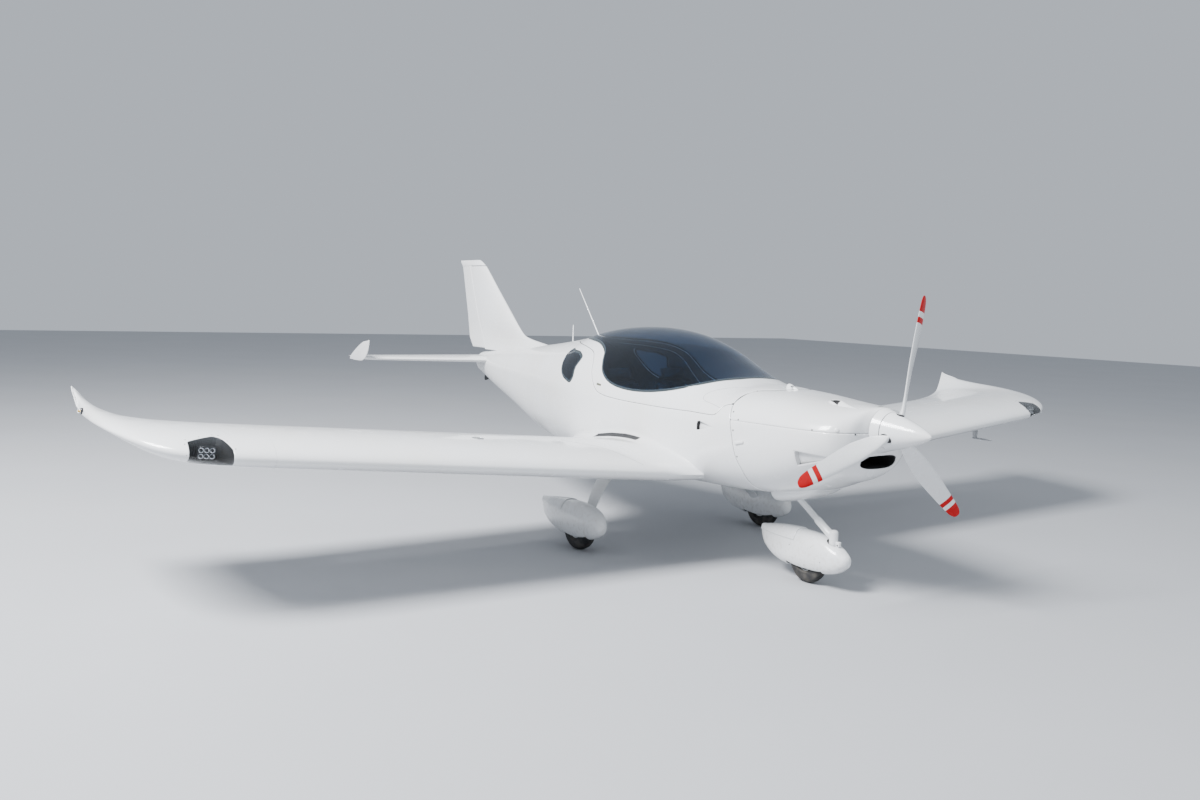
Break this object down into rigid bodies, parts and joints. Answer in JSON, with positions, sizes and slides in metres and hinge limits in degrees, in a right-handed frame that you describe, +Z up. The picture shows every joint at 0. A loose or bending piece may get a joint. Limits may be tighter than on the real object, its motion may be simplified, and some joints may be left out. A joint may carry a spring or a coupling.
{
  "type": "light aircraft",
  "caption": "Low-wing two-seat light aircraft with a bubble canopy, upswept wing tips, a three-blade propeller and faired tricycle gear.",
  "frame": {"origin": "on the ground under the middle of the length, on the centre line", "axes": "+X towards the nose, +Y to the aircraft's left, +Z up"},
  "size_m": [6.62, 8.6478, 2.306],
  "materials": {
    "white_shell": "gloss white paint over fibreglass and sheet",
    "tinted_glass": "blue tinted acrylic",
    "black_plastic": "matt",
    "cabin_trim": "grey carpet",
    "seat_leather": "satin",
    "lamp": "clear",
    "tyre": "matt rubber",
    "bare_metal": "satin",
    "engine": "cast"
  },
  "bodies": {
    "airframe": {"fuselage": "white_shell", "cowl_upper": "white_shell", "cowl_lower": "white_shell", "engine_block": "engine", "quarter_window_left": "tinted_glass", "quarter_window_right": "tinted_glass", "baggage_bay": "cabin_trim", "instrument_panel": "black_plastic", "centre_console": "cabin_trim", "seat_left": "seat_leather", "seat_right": "seat_leather", "control_stick_left": "black_plastic", "control_stick_right": "black_plastic", "wing_left": "white_shell", "wing_right": "white_shell", "wingtip_left": "white_shell", "wingtip_right": "white_shell", "landing_light_left": "lamp", "landing_light_right": "lamp", "nav_light_left": "lamp", "nav_light_right": "lamp", "fin": "white_shell", "stabilizer_left": "white_shell", "stabilizer_right": "white_shell", "main_leg_left": "white_shell", "main_leg_right": "white_shell", "main_spat_left": "white_shell", "main_spat_right": "white_shell", "nose_leg": "bare_metal", "whip_antenna": "black_plastic", "stub_antenna": "black_plastic", "tail_skid": "black_plastic", "pitot_probe": "bare_metal", "exhaust_pipe": "bare_metal"},
    "canopy": {"canopy_frame": "white_shell", "canopy_glass": "tinted_glass"},
    "propeller": {"spinner": "white_shell", "propeller_hub": "bare_metal", "blade_1": "white_shell", "blade_2": "white_shell", "blade_3": "white_shell"},
    "flap_left": {"flap_left": "white_shell"},
    "flap_right": {"flap_right": "white_shell"},
    "aileron_left": {"aileron_left": "white_shell"},
    "aileron_right": {"aileron_right": "white_shell"},
    "rudder": {"rudder": "white_shell"},
    "elevator": {"elevator": "white_shell"},
    "trim_tab": {"trim_tab": "white_shell"},
    "main_wheel_left": {"main_tyre_left": "tyre", "main_rim_left": "bare_metal"},
    "main_wheel_right": {"main_tyre_right": "tyre", "main_rim_right": "bare_metal"},
    "nose_swivel": {"nose_fork": "bare_metal", "nose_spat": "white_shell"},
    "nose_wheel": {"nose_tyre": "tyre", "nose_rim": "bare_metal"}
  },
  "joints": [
    {"name": "canopy_hinge", "type": "hinge", "parent": "airframe", "child": "canopy", "pos_m": [2.11, 0, 1.342], "axis": [0, 1, 0], "range_deg": [0, 45]},
    {"name": "propeller_spin", "type": "hinge", "parent": "airframe", "child": "propeller", "pos_m": [3.047, 0, 1.134], "axis": [1, 0, 0], "continuous": true},
    {"name": "flap_right_hinge", "type": "hinge", "parent": "airframe", "child": "flap_right", "pos_m": [0.415, -1.424, 0.8323], "axis": [0, -0.9964, 0.0845], "range_deg": [0, 30]},
    {"name": "flap_left_hinge", "type": "hinge", "parent": "airframe", "child": "flap_left", "pos_m": [0.415, 1.424, 0.8323], "axis": [0, -0.9964, -0.0845], "range_deg": [0, 30]},
    {"name": "aileron_right_hinge", "type": "hinge", "parent": "airframe", "child": "aileron_right", "pos_m": [0.415, -2.7447, 0.9391], "axis": [0, 0.9964, -0.0845], "range_deg": [-20, 20]},
    {"name": "aileron_left_hinge", "type": "hinge", "parent": "airframe", "child": "aileron_left", "pos_m": [0.415, 2.7447, 0.9391], "axis": [0, 0.9964, 0.0845], "range_deg": [-20, 20]},
    {"name": "rudder_hinge", "type": "hinge", "parent": "airframe", "child": "rudder", "pos_m": [-2.618, 0, 1.323], "axis": [-0.3997, 0, 0.9167], "range_deg": [-30, 30]},
    {"name": "elevator_hinge", "type": "hinge", "parent": "airframe", "child": "elevator", "pos_m": [-2.745, 0, 1.245], "axis": [0, 1, 0], "range_deg": [-15, 30]},
    {"name": "trim_tab_hinge", "type": "hinge", "parent": "elevator", "child": "trim_tab", "pos_m": [-3.0084, -0.6065, 1.2512], "axis": [0, 1, 0], "range_deg": [-20, 10]},
    {"name": "main_wheel_left_spin", "type": "hinge", "parent": "airframe", "child": "main_wheel_left", "pos_m": [0.852, 0.938, 0.175], "axis": [0, 1, 0], "continuous": true},
    {"name": "main_wheel_right_spin", "type": "hinge", "parent": "airframe", "child": "main_wheel_right", "pos_m": [0.852, -0.938, 0.175], "axis": [0, 1, 0], "continuous": true},
    {"name": "nose_swivel_turn", "type": "hinge", "parent": "airframe", "child": "nose_swivel", "pos_m": [2.565, 0, 0.29], "axis": [0, 0, 1], "range_deg": [-45, 45]},
    {"name": "nose_wheel_spin", "type": "hinge", "parent": "nose_swivel", "child": "nose_wheel", "pos_m": [2.348, 0, 0.155], "axis": [0, 1, 0], "continuous": true}
  ],
  "couplings": [
    {"joint": "flap_left_hinge", "follows": "flap_right_hinge", "ratio": 1},
    {"joint": "aileron_left_hinge", "follows": "aileron_right_hinge", "ratio": -1}
  ]
}
